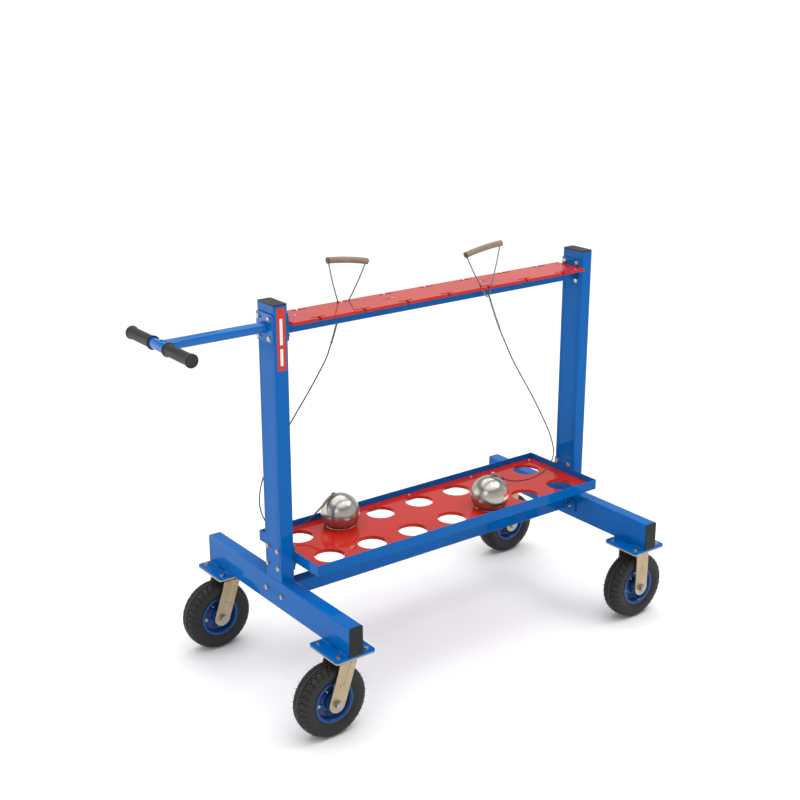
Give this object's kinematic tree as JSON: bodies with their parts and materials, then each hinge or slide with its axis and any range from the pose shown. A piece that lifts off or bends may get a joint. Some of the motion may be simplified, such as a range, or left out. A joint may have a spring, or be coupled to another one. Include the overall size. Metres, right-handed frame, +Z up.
{
  "type": "throwing hammer cart",
  "caption": "Wheeled steel cart that stores throwing hammers: balls sit in holes of the lower tray and handles hang in notches of the upper plate, with a push handle and casters.",
  "frame": {"origin": "on the floor under the middle of the cart's overall box", "axes": "+X from the push handle towards the far end, +Y to the left, +Z up"},
  "size_m": [1.478, 0.704, 1.1482],
  "materials": {
    "blue_paint": "glossy powder coat",
    "rim_paint": "glossy enamel",
    "red_sheet": "glossy",
    "black_plastic": "fine grained",
    "grip_rubber": "matt, smooth",
    "zinc": "zinc plated",
    "yellow_zinc": "yellow passivated zinc, satin",
    "steel_ball": "turned and brushed",
    "wire_steel": "drawn wire",
    "spindle_steel": "turned steel",
    "grip_bronze": "matt bronze coat",
    "tyre_rubber": "moulded rubber",
    "bearing_steel": "ground"
  },
  "bodies": {
    "frame": {"handle_end_foot_beam": "blue_paint", "far_end_foot_beam": "blue_paint", "handle_end_upright": "blue_paint", "far_end_upright": "blue_paint", "tube_end_caps": "black_plastic", "caster_mount_plates": "blue_paint", "lower_beam": "blue_paint", "tray_frame": "blue_paint", "tray_sheet": "red_sheet", "top_bar": "blue_paint", "top_plate": "red_sheet", "handle_bar": "blue_paint", "left_grip": "grip_rubber", "right_grip": "grip_rubber", "frame_bolts": "zinc", "caster_bolts": "zinc", "lock_nuts": "zinc", "sheet_screws": "zinc", "left_swivel_top_plate": "yellow_zinc", "right_swivel_top_plate": "yellow_zinc", "left_fixed_top_plate": "yellow_zinc", "right_fixed_top_plate": "yellow_zinc", "left_fixed_fork": "yellow_zinc", "right_fixed_fork": "yellow_zinc", "left_fixed_axle": "yellow_zinc", "right_fixed_axle": "yellow_zinc"},
    "left_swivel": {"left_swivel_fork": "yellow_zinc", "left_swivel_axle": "yellow_zinc", "left_race_balls": "bearing_steel"},
    "right_swivel": {"right_swivel_fork": "yellow_zinc", "right_swivel_axle": "yellow_zinc", "right_race_balls": "bearing_steel"},
    "left_front_wheel": {"left_front_tyre": "tyre_rubber", "left_front_rim": "rim_paint", "left_front_bearings": "bearing_steel", "left_front_rim_bolts": "zinc"},
    "right_front_wheel": {"right_front_tyre": "tyre_rubber", "right_front_rim": "rim_paint", "right_front_bearings": "bearing_steel", "right_front_rim_bolts": "zinc"},
    "left_rear_wheel": {"left_rear_tyre": "tyre_rubber", "left_rear_rim": "rim_paint", "left_rear_bearings": "bearing_steel", "left_rear_rim_bolts": "zinc"},
    "right_rear_wheel": {"right_rear_tyre": "tyre_rubber", "right_rear_rim": "rim_paint", "right_rear_bearings": "bearing_steel", "right_rear_rim_bolts": "zinc"},
    "left_hammer_head": {"left_hammer_ball": "steel_ball"},
    "left_hammer": {"left_hammer_spindle": "spindle_steel", "left_hammer_wire": "wire_steel", "left_hammer_legs": "wire_steel", "left_hammer_grip": "grip_bronze"},
    "right_hammer_head": {"right_hammer_ball": "steel_ball"},
    "right_hammer": {"right_hammer_spindle": "spindle_steel", "right_hammer_wire": "wire_steel", "right_hammer_legs": "wire_steel", "right_hammer_grip": "grip_bronze"}
  },
  "joints": [
    {"name": "left_swivel_turn", "type": "hinge", "parent": "frame", "child": "left_swivel", "pos_m": [-0.411, 0.289, 0.219], "axis": [0, 0, 1], "continuous": true},
    {"name": "left_front_wheel_spin", "type": "hinge", "parent": "left_swivel", "child": "left_front_wheel", "pos_m": [-0.453, 0.289, 0.1], "axis": [0, 1, 0], "continuous": true},
    {"name": "left_rear_wheel_spin", "type": "hinge", "parent": "frame", "child": "left_rear_wheel", "pos_m": [0.639, 0.289, 0.1], "axis": [0, 1, 0], "continuous": true},
    {"name": "right_swivel_turn", "type": "hinge", "parent": "frame", "child": "right_swivel", "pos_m": [-0.411, -0.289, 0.219], "axis": [0, 0, 1], "continuous": true},
    {"name": "right_front_wheel_spin", "type": "hinge", "parent": "right_swivel", "child": "right_front_wheel", "pos_m": [-0.453, -0.289, 0.1], "axis": [0, 1, 0], "continuous": true},
    {"name": "right_rear_wheel_spin", "type": "hinge", "parent": "frame", "child": "right_rear_wheel", "pos_m": [0.639, -0.289, 0.1], "axis": [0, 1, 0], "continuous": true},
    {"name": "left_hammer_lift", "type": "slide", "parent": "frame", "child": "left_hammer", "axis": [0, 0, 1], "range_m": [0, 0.025]},
    {"name": "left_hammer_head_spin", "type": "hinge", "parent": "left_hammer", "child": "left_hammer_head", "pos_m": [-0.164, 0.076, 0.41271], "axis": [-0.3304, 0.0885, 0.9397], "continuous": true},
    {"name": "right_hammer_lift", "type": "slide", "parent": "frame", "child": "right_hammer", "axis": [0, 0, 1], "range_m": [0, 0.025]},
    {"name": "right_hammer_head_spin", "type": "hinge", "parent": "right_hammer", "child": "right_hammer_head", "pos_m": [0.253, -0.076, 0.41271], "axis": [0.23, 0.0489, 0.972], "continuous": true}
  ]
}
